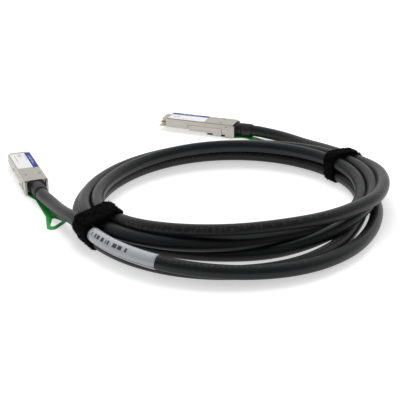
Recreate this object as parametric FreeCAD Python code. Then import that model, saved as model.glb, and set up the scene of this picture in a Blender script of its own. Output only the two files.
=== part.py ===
"""A coiled direct attach copper cable: two latched plugs joined by one thick round cable.

Millimetres, +Z up.  The cable lies on the floor plane z = 0 in four and a half turns, tied by two
hook-and-loop straps, and its two ends run out to the plugs, which lie flat on the same floor.
The origin is on the floor under the middle of the two plugs.

Each plug is drawn in its own frame and then put in its place: x runs from the rear face (x = 0)
towards the nose, y runs across and z is the height over the floor.
"""
import FreeCAD, Part

import math
import os

V = FreeCAD.Vector
TINY = 0.01

# ---- the cable and its coil ------------------------------------------------------------------
CABLE_DIAMETER = 9.8
COIL_CENTRE = (57.4, -84.5)
STATION_STEP = 45.0        # degrees between the named stations of a turn, clockwise from above
FIRST_STATION = 112.5      # degrees clockwise from +Y, where the rear tail has become a turn
FACET_STEPS = 4            # faces of the coil's solid between two stations
FACET_SIDES = 16           # faces round the coil's section

# Each turn as (radius, height of the cable's centre) at its eight stations.  The strands lie on
# the floor, in the hollows between those below them, or over a strand that they cross.
TURNS = [
    [(106.4, 24.9), (90.0, 25.8), (93.6, 23.8), (98.0, 16.4),
     (94.8, 13.4), (94.2, 16.2), (101.8, 16.8), (107.0, 16.2)],
    [(93.2, 12.1), (80.5, 12.4), (98.0, 15.8), (107.9, 13.8),
     (103.7, 11.4), (107.7, 10.4), (115.3, 13.1), (116.2, 17.6)],
    [(101.6, 15.2), (85.9, 4.9), (87.2, 4.9), (100.0, 5.4),
     (98.2, 4.9), (98.6, 7.4), (106.6, 6.9), (107.5, 6.0)],
    [(97.4, 4.9), (109.4, 4.9), (113.2, 4.9), (112.0, 4.9),
     (110.8, 4.9), (115.1, 4.9), (121.6, 5.6), (115.2, 4.9)],
    [(110.6, 4.9), (119.4, 7.5), (120.0, 11.3), (115.8, 13.6)],
]
BEFORE_FIRST = (118.6, 19.2)   # where the rear tail lies one station before the first turn

# The two uncoiled stretches, from the rear plug's boot to the first turn and from the last turn
# to the left plug's boot.  The points between the boots and the coil are chosen by hand.
TAIL_A = [(96.9, 74.9, 6.8), (112.4, 63.0, 6.8), (127.9, 44.0, 7.4), (145.4, 17.0, 11.5),
          (161.9, -12.5, 15.0), (176.4, -42.6, 18.2), (176.3, -76.7, 22.0),
          (169.6, -102.9, 23.0)]
TAIL_B = [(-64.1, -108.5, 9.6), (-74.1, -88.0, 7.6)]
BOOT_RUN = 12.0            # straight stretch of cable out of a boot's mouth
ARC_SHARE = 0.45           # of the shorter run beside a corner that its arc takes up

# ---- the straps and the cable's own label ----------------------------------------------------
STRAP_THICKNESS = 1.6
STRAP_BACK_AZIMUTH = 55.0
STRAP_BACK_WIDTH = 11.0
STRAP_FRONT_AZIMUTH = 239.0
STRAP_FRONT_WIDTH = 21.0
CABLE_LABEL_THICKNESS = 1.0
LABEL_FIRST_AZIMUTH = 203.0
LABEL_LAST_AZIMUTH = 233.0

# ---- the plug's metal shell ------------------------------------------------------------------
PLUG_WIDTH = 18.35
NOSE_HEIGHT = 8.5          # the section that slides into the cage
BELLY_DEPTH = 1.4          # how far the rear section reaches below the nose section
FOOT_DEPTH = 2.6           # how far the cheeks' feet reach below the belly
BODY_LENGTH = 63.0
BELLY_LENGTH = 40.4
FOOT_LENGTH = 5.4
CHEEK_OVERHANG = 3.0       # the cheeks stand behind the rear face by this much
CHEEK_THICKNESS = 1.5
WALL = 1.4
BELLY_FLOOR = 0.9
NOSE_FLOOR = 1.0
BULKHEAD = 1.5
COVER_THICKNESS = 1.2
COVER_RIB_DEPTH = 1.0
COVER_RIB_WIDTH = 0.8
COVER_RIB_GAP = 0.1
EDGE_CHAMFER = 0.5
FOOT_CHAMFER = 1.6
LIP_INSET = 0.9
LOWER_LIP_LENGTH = 7.0
LOWER_LIP_THICKNESS = 1.2
UPPER_LIP_LENGTH = 4.5
UPPER_LIP_ROOT = 1.5
UPPER_LIP_THICKNESS = 0.9
SIDE_HOLE_RADIUS = 0.6
SIDE_HOLE_X = 4.6
SIDE_HOLE_Z = 10.3

# ---- the card and what is soldered to it -----------------------------------------------------
CARD_THICKNESS = 1.0
CARD_SIDE_GAP = 0.1
CARD_REAR = 15.0
CARD_SETBACK = 1.6         # the card's edge lies this far behind the tip of the lower lip
CARD_HEIGHT = 4.2          # the card's middle over the nose section's underside
LEDGE_WIDTH = 1.0
FINGERS_PER_SIDE = 19
FINGER_WIDTH = 0.56
FINGER_LENGTH = 5.2
FINGER_THICKNESS = 0.05
FINGER_SETBACK = 0.4
FINGER_MARGIN = 0.195      # bare card between the last pad and the card's side

# ---- the boot, the crimp ring and the wires --------------------------------------------------
CABLE_EXIT_HEIGHT = 6.8
COLLAR_SIDE_GAP = 0.575    # between the collar and each cheek
COLLAR_HEIGHT = 10.0
COLLAR_LENGTH = 4.6
COLLAR_CORNER = 4.4
RIB_COUNT = 3
RIB_GROOVE = 0.6
NECK_INSET = 2.075         # between the neck and the inside of each wall
NECK_CORNER = 1.0
FLANGE_SIDE_GAP = 0.575    # between the flange and the inside of each wall
FLANGE_LENGTH = 1.4
BOOT_FIT = 0.1
SLEEVE_DIAMETER = 11.2
BOOT_LENGTH = 8.0
RING_WALL = 0.35
RING_START = 4.2
RING_LENGTH = 5.0
WIRE_GAP = 0.08
WIRE_FIT = 0.08            # between the outermost wires and the ring
WIRES_PER_ROW = 4
WIRE_OVERLAP = 2.5         # how far a wire lies along the card

# ---- the sprung latch and its pull tab -------------------------------------------------------
LATCH_TRAVEL = 3.0
SLIDE_GAP = 0.25
ARM_THICKNESS = 0.45
ARM_INSET = 0.05
ARM_HEIGHT = 2.6
ARM_TIP_X = 41.6
BARB_LENGTH = 1.4
BARB_REACH = 0.35
LEG_LENGTH = 8.0
BRIDGE_REAR = 9.2
BRIDGE_THICKNESS = 0.5
EAR_WIDTH = 1.8
EAR_THICKNESS = 0.5
EAR_INSET = 2.275          # middle of each spring and ear, in from the inside of the wall
SPRING_RADIUS = 1.0
SPRING_WIRE = 0.3
SPRING_TURNS = 8
SPRING_LENGTH = 10.6
SPRING_POCKET_WALL = 0.9
TAB_THICKNESS = 0.8
TAB_LIFT = 0.1
TAB_HEAD_FRONT = 19.0
TAB_HEAD_GAP = 0.3
TAB_STRIP_HALF = 3.9
TAB_TAPER_END = -13.0
TAB_BEND_X = -12.0
TAB_LOOP_START = -47.0
# the loop's corners as (x, offset towards the side where the cable drifts, corner radius)
TAB_LOOP_OUTER = [(-61.0, 9.6, 5.0), (-79.0, -10.2, 4.0)]
TAB_LOOP_INNER = [(-50.5, 0.4, 1.5), (-60.0, 6.0, 2.5), (-72.2, -7.3, 2.0)]

# ---- the plug's label and screws -------------------------------------------------------------
LABEL_THICKNESS = 0.1
LABEL_REAR = 26.0
LABEL_LENGTH = 35.0
LABEL_MARGIN = 0.8
SCREW_HEAD_RADIUS = 1.5
SCREW_SHANK_RADIUS = 0.8
SCREW_LENGTH = 4.0
SCREW_HEAD_DEPTH = 0.7
SCREW_SINK = 0.1
SCREW_X = 11.0
SCREW_INSET = 2.375        # middle of each screw, in from the inside of the wall
SCREW_FIT = 0.05
SCREW_BOSS_RADIUS = 1.8
SOCKET_RADIUS = 0.6

# ---- where the plugs lie: rear face's middle, heading of the nose, the cable's drift, tab bend --
PLUGS = {
    "a": {"x": 67.8, "y": 87.9, "heading": 160.4, "drift": 1.0, "tab_bend": 26.0},
    "b": {"x": -91.9, "y": -50.5, "heading": 111.3, "drift": -1.0, "tab_bend": 0.0},
}

# ---- worked out from the values above --------------------------------------------------------
CABLE_RADIUS = CABLE_DIAMETER / 2
HALF = PLUG_WIDTH / 2
BELLY_Z = FOOT_DEPTH
NOSE_Z = FOOT_DEPTH + BELLY_DEPTH
TOP_Z = NOSE_Z + NOSE_HEIGHT
SEAM_Z = TOP_Z - COVER_THICKNESS
INNER_HALF = HALF - WALL
REAR_FLOOR_Z = BELLY_Z + BELLY_FLOOR
NOSE_FLOOR_Z = NOSE_Z + NOSE_FLOOR
CARD_Z = NOSE_Z + CARD_HEIGHT - CARD_THICKNESS / 2
CARD_HALF = INNER_HALF - CARD_SIDE_GAP
CARD_FRONT = BODY_LENGTH + LOWER_LIP_LENGTH - CARD_SETBACK
FINGER_PITCH = (2 * (CARD_HALF - FINGER_MARGIN) - FINGER_WIDTH) / (FINGERS_PER_SIDE - 1)
EAR_SPREAD = INNER_HALF - EAR_INSET
SCREW_SPREAD = INNER_HALF - SCREW_INSET
TAB_TOP = TAB_LIFT + TAB_THICKNESS
BRIDGE_TOP = TAB_TOP + BRIDGE_THICKNESS
POCKET_HALF = SPRING_RADIUS + SLIDE_GAP
POCKET_REAR = BRIDGE_REAR + LATCH_TRAVEL
EAR_X = POCKET_REAR + SPRING_LENGTH
POCKET_FRONT = EAR_X + EAR_THICKNESS + 2 * SLIDE_GAP
SPRING_Z = BELLY_Z + SLIDE_GAP + SPRING_RADIUS
RECESS_DEPTH = ARM_INSET + ARM_THICKNESS + SLIDE_GAP
ARM_Z = NOSE_Z + BELLY_DEPTH
RECESS_REAR = BRIDGE_REAR - LATCH_TRAVEL - SLIDE_GAP
RECESS_FRONT = ARM_TIP_X + 2 * SLIDE_GAP
COLLAR_Z = CABLE_EXIT_HEIGHT - COLLAR_HEIGHT / 2
COLLAR_WIDTH = 2 * (HALF - CHEEK_THICKNESS - COLLAR_SIDE_GAP)
NECK_WIDTH = 2 * (INNER_HALF - NECK_INSET)
FLANGE_WIDTH = 2 * (INNER_HALF - FLANGE_SIDE_GAP)
# the ring stands on the shell's floor, and two rows of wires fill its bore
RING_RADIUS = CABLE_EXIT_HEIGHT - REAR_FLOOR_Z
OUTERMOST_WIRE = math.hypot(WIRES_PER_ROW - 1, 1) / 2      # its place from the middle, in pitches
WIRE_PITCH = (RING_RADIUS - RING_WALL - WIRE_FIT + WIRE_GAP / 2) / (OUTERMOST_WIRE + 0.5)
WIRE_RADIUS = (WIRE_PITCH - WIRE_GAP) / 2


def box(x0, x1, y0, y1, z0, z1):
    """A block between the given limits."""
    return Part.makeBox(x1 - x0, y1 - y0, z1 - z0, V(x0, y0, z0))


def rod(radius, start, end):
    """A round bar between two points."""
    line = end - start
    return Part.makeCylinder(radius, line.Length, start, line)


def both_sides(make):
    """What make(side) gives for the left side (+1) and the right side (-1)."""
    return [make(side) for side in (1, -1)]


def side_box(side, x0, x1, inner, outer, z0, z1):
    """A block between two distances from the plug's middle, on one side of it."""
    low, high = sorted((side * inner, side * outer))
    return box(x0, x1, low, high, z0, z1)


def rounded_outline(corners, height):
    """A closed wire through (x, y, radius) corners, each rounded by a tangent arc."""
    edges = []
    spots = []
    count = len(corners)
    for index in range(count):
        here = V(corners[index][0], corners[index][1], height)
        before = V(corners[index - 1][0], corners[index - 1][1], height)
        after = V(corners[(index + 1) % count][0], corners[(index + 1) % count][1], height)
        spots.append(corner_arc(before, here, after, corners[index][2]))
    for index in range(count):
        start, middle, end = spots[index]
        edges.append(Part.Arc(start, middle, end).toShape())
        following = spots[(index + 1) % count][0]
        edges.append(Part.LineSegment(end, following).toShape())
    return Part.Wire(edges)


def corner_arc(before, here, after, radius):
    """Start, middle and end of the arc of a given radius that rounds a corner."""
    back = (before - here).normalize()
    ahead = (after - here).normalize()
    half_angle = back.getAngle(ahead) / 2
    reach = radius / math.tan(half_angle)
    bisector = (back + ahead).normalize()
    centre = here + bisector * (radius / math.sin(half_angle))
    return here + back * reach, centre - bisector * radius, here + ahead * reach


# ---- the plug's pieces, in the plug's own frame ----------------------------------------------
def boot_section(width, bottom, top, corner, x):
    """A rounded section across the plug, as a wire in the plane at x."""
    half = width / 2
    outline = rounded_outline(
        [(-half, bottom, corner), (half, bottom, corner), (half, top, corner), (-half, top, corner)],
        0.0)
    turn = FreeCAD.Rotation(V(0, 1, 0), V(0, 0, 1), V(1, 0, 0), "ZXY")
    outline.Placement = FreeCAD.Placement(V(x, 0, 0), turn)
    return outline


def boot_block(width, bottom, top, corner, x0, x1):
    """A rounded block along the plug, between two places."""
    return Part.Face(boot_section(width, bottom, top, corner, x0)).extrude(V(x1 - x0, 0, 0))


def base_shell():
    """The die-cast tray: floor, side walls, cheeks with feet, bulkhead, nose lip and ledges."""
    tip = BODY_LENGTH + LOWER_LIP_LENGTH
    shell = box(0, BODY_LENGTH, -HALF, HALF, NOSE_Z, SEAM_Z)
    shell = shell.fuse(box(0, BELLY_LENGTH, -HALF, HALF, BELLY_Z, NOSE_Z))
    shell = shell.cut(box(BULKHEAD, BELLY_LENGTH - WALL, -INNER_HALF, INNER_HALF, REAR_FLOOR_Z, TOP_Z))
    shell = shell.cut(box(BULKHEAD, tip, -INNER_HALF, INNER_HALF, NOSE_FLOOR_Z, TOP_Z))
    lip = box(BODY_LENGTH, tip, -HALF + LIP_INSET, HALF - LIP_INSET, NOSE_Z, NOSE_Z + LOWER_LIP_THICKNESS)
    lip_front = [e for e in lip.Edges if e.BoundBox.XMin > tip - TINY and e.BoundBox.YLength > WALL]
    shell = shell.fuse(lip.makeChamfer(LOWER_LIP_THICKNESS / 3, lip_front))
    cheeks = both_sides(cheek)
    ledges = both_sides(lambda side: side_box(
        side, CARD_REAR, BODY_LENGTH - WALL, INNER_HALF - LEDGE_WIDTH, INNER_HALF, REAR_FLOOR_Z, CARD_Z))
    ledges = [ledge.cut(box(BELLY_LENGTH - WALL, tip, -HALF, HALF, 0, NOSE_FLOOR_Z)) for ledge in ledges]
    pockets = both_sides(spring_pocket)
    bosses = both_sides(lambda side: rod(
        SCREW_BOSS_RADIUS, V(SCREW_X, side * SCREW_SPREAD, BELLY_Z),
        V(SCREW_X, side * SCREW_SPREAD, SEAM_Z)))
    shell = shell.fuse(cheeks + ledges + pockets + bosses)
    spring_rooms = both_sides(lambda side: side_box(
        side, POCKET_REAR, POCKET_FRONT, EAR_SPREAD - POCKET_HALF, EAR_SPREAD + POCKET_HALF,
        0, SPRING_Z + POCKET_HALF))
    recesses = both_sides(lambda side: side_box(
        side, RECESS_REAR, RECESS_FRONT, HALF - RECESS_DEPTH, HALF + 1,
        0, ARM_Z + ARM_HEIGHT + SLIDE_GAP))
    holes = [screw_room(side) for side in (1, -1)]
    side_hole = rod(SIDE_HOLE_RADIUS, V(SIDE_HOLE_X, -PLUG_WIDTH, SIDE_HOLE_Z),
                    V(SIDE_HOLE_X, PLUG_WIDTH, SIDE_HOLE_Z))
    neck_room = boot_block(NECK_WIDTH + 2 * BOOT_FIT, REAR_FLOOR_Z, TOP_Z + COLLAR_CORNER,
                           NECK_CORNER, -BULKHEAD, 2 * BULKHEAD)
    return shell.cut(spring_rooms + recesses + holes + [side_hole, neck_room]).removeSplitter()


def cheek(side):
    """One cheek: the side wall's rear end, which stands behind the rear face and down to the floor."""
    wall = side_box(side, -CHEEK_OVERHANG, FOOT_LENGTH, HALF - CHEEK_THICKNESS, HALF, 0, SEAM_Z)
    corner = [e for e in wall.Edges
              if e.BoundBox.XMax < 0 and e.BoundBox.ZMax < TINY and e.BoundBox.YLength > WALL / 2]
    return wall.makeChamfer(FOOT_CHAMFER, corner)


def spring_pocket(side):
    """The raised floor round one return spring."""
    return side_box(side, POCKET_REAR - SPRING_POCKET_WALL, POCKET_FRONT + SPRING_POCKET_WALL,
                    EAR_SPREAD - POCKET_HALF - SPRING_POCKET_WALL, INNER_HALF,
                    BELLY_Z, SPRING_Z + POCKET_HALF + SPRING_POCKET_WALL)


def screw_room(side):
    """The hole that one cover screw's shank turns into."""
    y = side * SCREW_SPREAD
    end = TOP_Z - SCREW_SINK - SCREW_LENGTH - SCREW_FIT
    return rod(SCREW_SHANK_RADIUS + SCREW_FIT, V(SCREW_X, y, end), V(SCREW_X, y, TOP_Z))


def top_cover():
    """The lid: a plate with two locating ribs, a nose lip and the arch over the boot."""
    plate = box(-CHEEK_OVERHANG / 2, BODY_LENGTH, -HALF, HALF, SEAM_Z, TOP_Z)
    upper = [e for e in plate.Edges if e.BoundBox.ZMin > TOP_Z - TINY]
    softened = [e for e in upper
                if e.BoundBox.XLength > BODY_LENGTH or e.BoundBox.XMin > BODY_LENGTH - TINY]
    plate = plate.makeChamfer(EDGE_CHAMFER, softened)
    outer = INNER_HALF - COVER_RIB_GAP
    lip_root = BODY_LENGTH - UPPER_LIP_ROOT
    ribs = both_sides(lambda side: side_box(
        side, BULKHEAD + SCREW_X, lip_root - COVER_RIB_WIDTH, outer - COVER_RIB_WIDTH, outer,
        SEAM_Z - COVER_RIB_DEPTH, SEAM_Z))
    lip = box(lip_root, BODY_LENGTH + UPPER_LIP_LENGTH, -HALF + LIP_INSET + WALL,
              HALF - LIP_INSET - WALL, SEAM_Z - UPPER_LIP_THICKNESS, SEAM_Z)
    cover = plate.fuse(ribs + [lip])
    heads = [screw_head_room(side) for side in (1, -1)]
    arch = boot_block(COLLAR_WIDTH + 2 * BOOT_FIT, COLLAR_Z, COLLAR_Z + COLLAR_HEIGHT + BOOT_FIT,
                      COLLAR_CORNER, -CHEEK_OVERHANG, 0)
    return cover.cut(heads + [arch]).removeSplitter()


def screw_head_room(side):
    """The countersink and shank hole through the cover for one screw."""
    y = side * SCREW_SPREAD
    shank = rod(SCREW_SHANK_RADIUS + SCREW_FIT, V(SCREW_X, y, NOSE_Z), V(SCREW_X, y, TOP_Z))
    seat = TOP_Z - SCREW_SINK - SCREW_HEAD_DEPTH
    head = rod(SCREW_HEAD_RADIUS + SCREW_FIT, V(SCREW_X, y, seat), V(SCREW_X, y, TOP_Z + 1))
    return shank.fuse(head)


def cover_screws():
    """The two flat-headed screws that hold the cover, each with a drive socket."""
    screws = []
    for side in (1, -1):
        y = side * SCREW_SPREAD
        top = TOP_Z - SCREW_SINK
        head = rod(SCREW_HEAD_RADIUS, V(SCREW_X, y, top - SCREW_HEAD_DEPTH), V(SCREW_X, y, top))
        shank = rod(SCREW_SHANK_RADIUS, V(SCREW_X, y, top - SCREW_LENGTH), V(SCREW_X, y, top))
        socket = rod(SOCKET_RADIUS, V(SCREW_X, y, top - SCREW_HEAD_DEPTH / 2), V(SCREW_X, y, top + 1))
        screws.append(head.fuse(shank).cut(socket).removeSplitter())
    return Part.makeCompound(screws)


def paddle_card():
    """The small circuit card whose front edge is the contact."""
    card = box(CARD_REAR, CARD_FRONT, -CARD_HALF, CARD_HALF, CARD_Z, CARD_Z + CARD_THICKNESS)
    nose = [e for e in card.Edges if e.BoundBox.XMin > CARD_FRONT - TINY and e.BoundBox.YLength > WALL]
    return card.makeChamfer(CARD_THICKNESS / 4, nose)


def contact_fingers():
    """The gold pads on both faces of the card's front edge."""
    front = CARD_FRONT - FINGER_SETBACK
    pads = []
    for z in (CARD_Z + CARD_THICKNESS, CARD_Z - FINGER_THICKNESS):
        for index in range(FINGERS_PER_SIDE):
            y = (index - (FINGERS_PER_SIDE - 1) / 2) * FINGER_PITCH
            pads.append(box(front - FINGER_LENGTH, front, y - FINGER_WIDTH / 2, y + FINGER_WIDTH / 2,
                            z, z + FINGER_THICKNESS))
    return Part.makeCompound(pads)


def cable_boot():
    """The moulded boot: ribbed collar behind the shell, neck through it, flange inside, sleeve."""
    top = COLLAR_Z + COLLAR_HEIGHT
    collar = boot_block(COLLAR_WIDTH, COLLAR_Z, top, COLLAR_CORNER, -COLLAR_LENGTH, 0)
    groove_step = COLLAR_LENGTH / (RIB_COUNT + 1)
    inside = boot_block(COLLAR_WIDTH - 2 * RIB_GROOVE, COLLAR_Z + RIB_GROOVE, top - RIB_GROOVE,
                        COLLAR_CORNER - RIB_GROOVE, -COLLAR_LENGTH, 0)
    for index in range(RIB_COUNT):
        x = -COLLAR_LENGTH + (index + 0.75) * groove_step
        band = box(x, x + groove_step / 2, -HALF, HALF, 0, TOP_Z)
        collar = collar.cut(band.cut(inside))
    neck = boot_block(NECK_WIDTH, REAR_FLOOR_Z + BOOT_FIT, SEAM_Z - BOOT_FIT,
                      NECK_CORNER, 0, BULKHEAD + BOOT_FIT)
    flange = boot_block(FLANGE_WIDTH, REAR_FLOOR_Z + BOOT_FIT, SEAM_Z - BOOT_FIT, NECK_CORNER,
                        BULKHEAD + BOOT_FIT, BULKHEAD + BOOT_FIT + FLANGE_LENGTH)
    sleeve = rod(SLEEVE_DIAMETER / 2, V(-BOOT_LENGTH, 0, CABLE_EXIT_HEIGHT),
                 V(-COLLAR_LENGTH, 0, CABLE_EXIT_HEIGHT))
    mouth = [e for e in sleeve.Edges if e.BoundBox.XMax < -BOOT_LENGTH + TINY]
    sleeve = sleeve.makeChamfer((SLEEVE_DIAMETER - CABLE_DIAMETER) / 4, mouth)
    return collar.fuse([neck, flange, sleeve]).removeSplitter()


def crimp_ring():
    """The ring that clamps the cable's braid in the shell."""
    start = V(RING_START, 0, CABLE_EXIT_HEIGHT)
    end = V(RING_START + RING_LENGTH, 0, CABLE_EXIT_HEIGHT)
    return rod(RING_RADIUS, start, end).cut(rod(RING_RADIUS - RING_WALL, start, end))


def wire_pairs():
    """The insulated pairs, from the crimp ring to both faces of the card."""
    wires = []
    ring_end = RING_START + RING_LENGTH
    rows = ((1, CARD_Z + CARD_THICKNESS + WIRE_RADIUS), (-1, CARD_Z - WIRE_RADIUS))
    for row, card_height in rows:
        for index in range(WIRES_PER_ROW):
            y = (index - (WIRES_PER_ROW - 1) / 2) * WIRE_PITCH
            z = CABLE_EXIT_HEIGHT + row * WIRE_PITCH / 2
            points = [V(RING_START, y, z), V(ring_end, y, z), V(CARD_REAR, y, card_height),
                      V(CARD_REAR + WIRE_OVERLAP, y, card_height)]
            bars = [rod(WIRE_RADIUS, points[k], points[k + 1]) for k in range(len(points) - 1)]
            elbows = [Part.makeSphere(WIRE_RADIUS, point) for point in points[1:-1]]
            wires.append(bars[0].fuse(bars[1:] + elbows).removeSplitter())
    return Part.makeCompound(wires)


def latch_slider():
    """The bent sheet slider: bridge under the belly, two legs, two arms with barbs, two ears."""
    outer = HALF - ARM_INSET
    inner = outer - ARM_THICKNESS
    front = EAR_X + EAR_THICKNESS
    pieces = [box(BRIDGE_REAR, front, -outer, outer, TAB_TOP, BRIDGE_TOP)]
    for side in (1, -1):
        arm_top = ARM_Z + ARM_HEIGHT
        pieces.append(side_box(side, BRIDGE_REAR, BRIDGE_REAR + LEG_LENGTH, inner, outer, TAB_TOP, arm_top))
        pieces.append(side_box(side, BRIDGE_REAR, ARM_TIP_X, inner, outer, ARM_Z, arm_top))
        pieces.append(side_box(side, ARM_TIP_X - BARB_LENGTH, ARM_TIP_X, inner, HALF + BARB_REACH,
                               ARM_Z + ARM_THICKNESS, arm_top - ARM_THICKNESS))
        pieces.append(side_box(side, EAR_X, front, EAR_SPREAD - EAR_WIDTH / 2, EAR_SPREAD + EAR_WIDTH / 2,
                               BRIDGE_TOP, SPRING_Z + SPRING_RADIUS))
    return pieces[0].fuse(pieces[1:]).removeSplitter()


def return_springs():
    """The two compression springs that push the slider's ears towards the nose."""
    pitch = (SPRING_LENGTH - 2 * SPRING_WIRE) / SPRING_TURNS
    springs = []
    for side in (1, -1):
        path = Part.makeHelix(pitch, SPRING_LENGTH - 2 * SPRING_WIRE, SPRING_RADIUS - SPRING_WIRE / 2)
        start = V(SPRING_RADIUS - SPRING_WIRE / 2, 0, 0)
        section = Part.Wire(Part.makeCircle(SPRING_WIRE / 2, start, V(0, 1, 0)))
        spring = Part.Wire(path).makePipeShell([section], True, True)
        spring.rotate(V(0, 0, 0), V(0, 1, 0), 90)
        spring.translate(V(POCKET_REAR + SPRING_WIRE, side * EAR_SPREAD, SPRING_Z))
        springs.append(spring)
    return Part.makeCompound(springs)


def bent_tab(corners, drift, bend):
    """The tab's corners with its strip turned towards the cable behind the shell."""
    turned = []
    angle = math.radians(bend)
    for x, offset, radius in corners:
        if x < TAB_BEND_X:
            reach = x - TAB_BEND_X
            x = TAB_BEND_X + reach * math.cos(angle) + offset * math.sin(angle)
            offset = -reach * math.sin(angle) + offset * math.cos(angle)
        turned.append((x, drift * offset, radius))
    return turned


def pull_tab(drift, bend):
    """The soft flat tab: a wide head under the bridge, a strip and a finger loop."""
    head = HALF - CHEEK_THICKNESS - TAB_HEAD_GAP
    near_side = [(TAB_HEAD_FRONT, head, 1.0), (-CHEEK_OVERHANG, head, 2.0),
                 (TAB_TAPER_END, TAB_STRIP_HALF, 8.0), (TAB_LOOP_START, TAB_STRIP_HALF, 3.0)]
    far_side = [(x, -offset, radius) for x, offset, radius in reversed(near_side)]
    outline = bent_tab(near_side + TAB_LOOP_OUTER + far_side, drift, bend)
    opening = bent_tab(TAB_LOOP_INNER, drift, bend)
    sheet = Part.Face(rounded_outline(outline, TAB_LIFT)).extrude(V(0, 0, TAB_THICKNESS))
    hole = Part.Face(rounded_outline(opening, 0)).extrude(V(0, 0, TAB_TOP + 1))
    return sheet.cut(hole)


def plug_label():
    """The printed label on the cover."""
    half = HALF - LABEL_MARGIN
    return box(LABEL_REAR, LABEL_REAR + LABEL_LENGTH, -half, half, TOP_Z, TOP_Z + LABEL_THICKNESS)


# ---- the cable -------------------------------------------------------------------------------
def ring_stations():
    """(azimuth, radius, height) of the coiled cable, two for each station of the turns."""
    spots = [spot for turn in TURNS for spot in turn]
    stations = []
    for index, spot in enumerate(spots):
        azimuth = FIRST_STATION + STATION_STEP * index
        stations.append((azimuth, spot[0], spot[1]))
        if index + 1 < len(spots):
            before = spots[index - 1] if index else BEFORE_FIRST
            after = spots[min(index + 2, len(spots) - 1)]
            middle = [(9 * (spot[k] + spots[index + 1][k]) - before[k] - after[k]) / 16 for k in (0, 1)]
            stations.append((azimuth + STATION_STEP / 2, middle[0], max(middle[1], CABLE_RADIUS)))
    return stations


def coil_point(azimuth, radius, height):
    """The place at an azimuth, radius and height of the coil."""
    angle = math.radians(azimuth)
    return V(COIL_CENTRE[0] + radius * math.sin(angle), COIL_CENTRE[1] + radius * math.cos(angle), height)


def strands_at(azimuth):
    """(radius, height) of every strand of the coil that crosses an azimuth."""
    stations = ring_stations()
    strands = []
    for first, second in zip(stations, stations[1:]):
        wanted = azimuth + 360 * math.ceil((first[0] - azimuth) / 360 - 1e-9)
        if wanted <= second[0] + 1e-6:
            share = (wanted - first[0]) / (second[0] - first[0])
            strands.append(tuple(first[k] + share * (second[k] - first[k]) for k in (1, 2)))
    return strands


def section_corners(strands, margin):
    """Corners of the many-sided outline that just holds the strands, grown by a margin."""
    sides = []
    for index in range(FACET_SIDES):
        angle = 2 * math.pi * index / FACET_SIDES
        reach = max(r * math.cos(angle) + z * math.sin(angle) for r, z in strands)
        sides.append((angle, reach + CABLE_RADIUS + margin))
    corners = []
    for (a, p), (b, q) in zip(sides, sides[1:] + sides[:1]):
        spread = math.sin(b - a)
        radius = (p * math.sin(b) - q * math.sin(a)) / spread
        height = (q * math.cos(a) - p * math.cos(b)) / spread
        corners.append((radius, max(height, 0.0)))
    return corners


def cable_coil():
    """The coil's outer shape: many-sided sections round the ring, joined by flat faces."""
    count = int(360 / STATION_STEP) * FACET_STEPS
    rings = []
    for index in range(count):
        azimuth = FIRST_STATION + index * STATION_STEP / FACET_STEPS
        corners = section_corners(strands_at(azimuth), 0.0)
        rings.append([coil_point(azimuth, radius, height) for radius, height in corners])
    faces = []
    for ring, following in zip(rings, rings[1:] + rings[:1]):
        for side in range(FACET_SIDES):
            far = (side + 1) % FACET_SIDES
            quad = [ring[side], ring[far], following[far], following[side]]
            faces.append(Part.Face(Part.makePolygon([quad[0], quad[1], quad[2], quad[0]])))
            faces.append(Part.Face(Part.makePolygon([quad[0], quad[2], quad[3], quad[0]])))
    return outward(Part.Solid(Part.makeShell(faces)))


def outward(solid):
    """The solid with its faces turned outwards."""
    if solid.Volume < 0:
        solid.reverse()
    return solid


def tail_tube(points, name):
    """The cable's solid along a route: straight runs joined by tangent arcs."""
    edges = []
    radii = []
    start = points[0]
    for before, here, after in zip(points, points[1:], points[2:]):
        shorter = min((here - before).Length, (after - here).Length)
        turn = (here - before).getAngle(after - here)
        radius = ARC_SHARE * shorter / math.tan(turn / 2)
        radii.append(radius)
        arc_start, arc_middle, arc_end = corner_arc(before, here, after, radius)
        edges.append(Part.LineSegment(start, arc_start).toShape())
        edges.append(Part.Arc(arc_start, arc_middle, arc_end).toShape())
        start = arc_end
    edges.append(Part.LineSegment(start, points[-1]).toShape())
    path = Part.Wire(edges)
    section = Part.Wire(Part.makeCircle(CABLE_RADIUS, points[0], points[1] - points[0]))
    tube = path.makePipeShell([section], True, False)
    ideal = path.Length * math.pi * CABLE_RADIUS ** 2
    print(name, "radii", [round(r) for r in radii], "volume ratio %.4f" % (tube.Volume / ideal))
    return tube


def to_row(shape, plug):
    """A shape of one plug's frame, put where the plug lies."""
    moved = shape.copy()
    moved.rotate(V(0, 0, 0), V(0, 0, 1), plug["heading"])
    moved.translate(V(plug["x"], plug["y"], 0))
    return moved


def boot_points(plug):
    """The middle of a boot's mouth and the end of the straight stretch out of it."""
    angle = math.radians(plug["heading"])
    points = []
    for reach in (BOOT_LENGTH, BOOT_LENGTH + BOOT_RUN):
        points.append(V(plug["x"] - reach * math.cos(angle), plug["y"] - reach * math.sin(angle),
                        CABLE_EXIT_HEIGHT))
    return points


def largest(shape):
    """The biggest solid of a shape."""
    return max(shape.Solids, key=lambda solid: solid.Volume)


def strap(azimuth, width, tail_strand, fillings):
    """A closed band round the bundle at one azimuth, less the cable that it holds."""
    strands = strands_at(azimuth) + [tail_strand]
    corners = section_corners(strands, STRAP_THICKNESS)
    ring = [coil_point(azimuth, radius, height) for radius, height in corners]
    angle = math.radians(azimuth)
    along = V(math.cos(angle), -math.sin(angle), 0)
    face = Part.Face(Part.makePolygon([p - along * (width / 2) for p in ring + ring[:1]]))
    return largest(face.extrude(along * width).cut(fillings))


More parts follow.
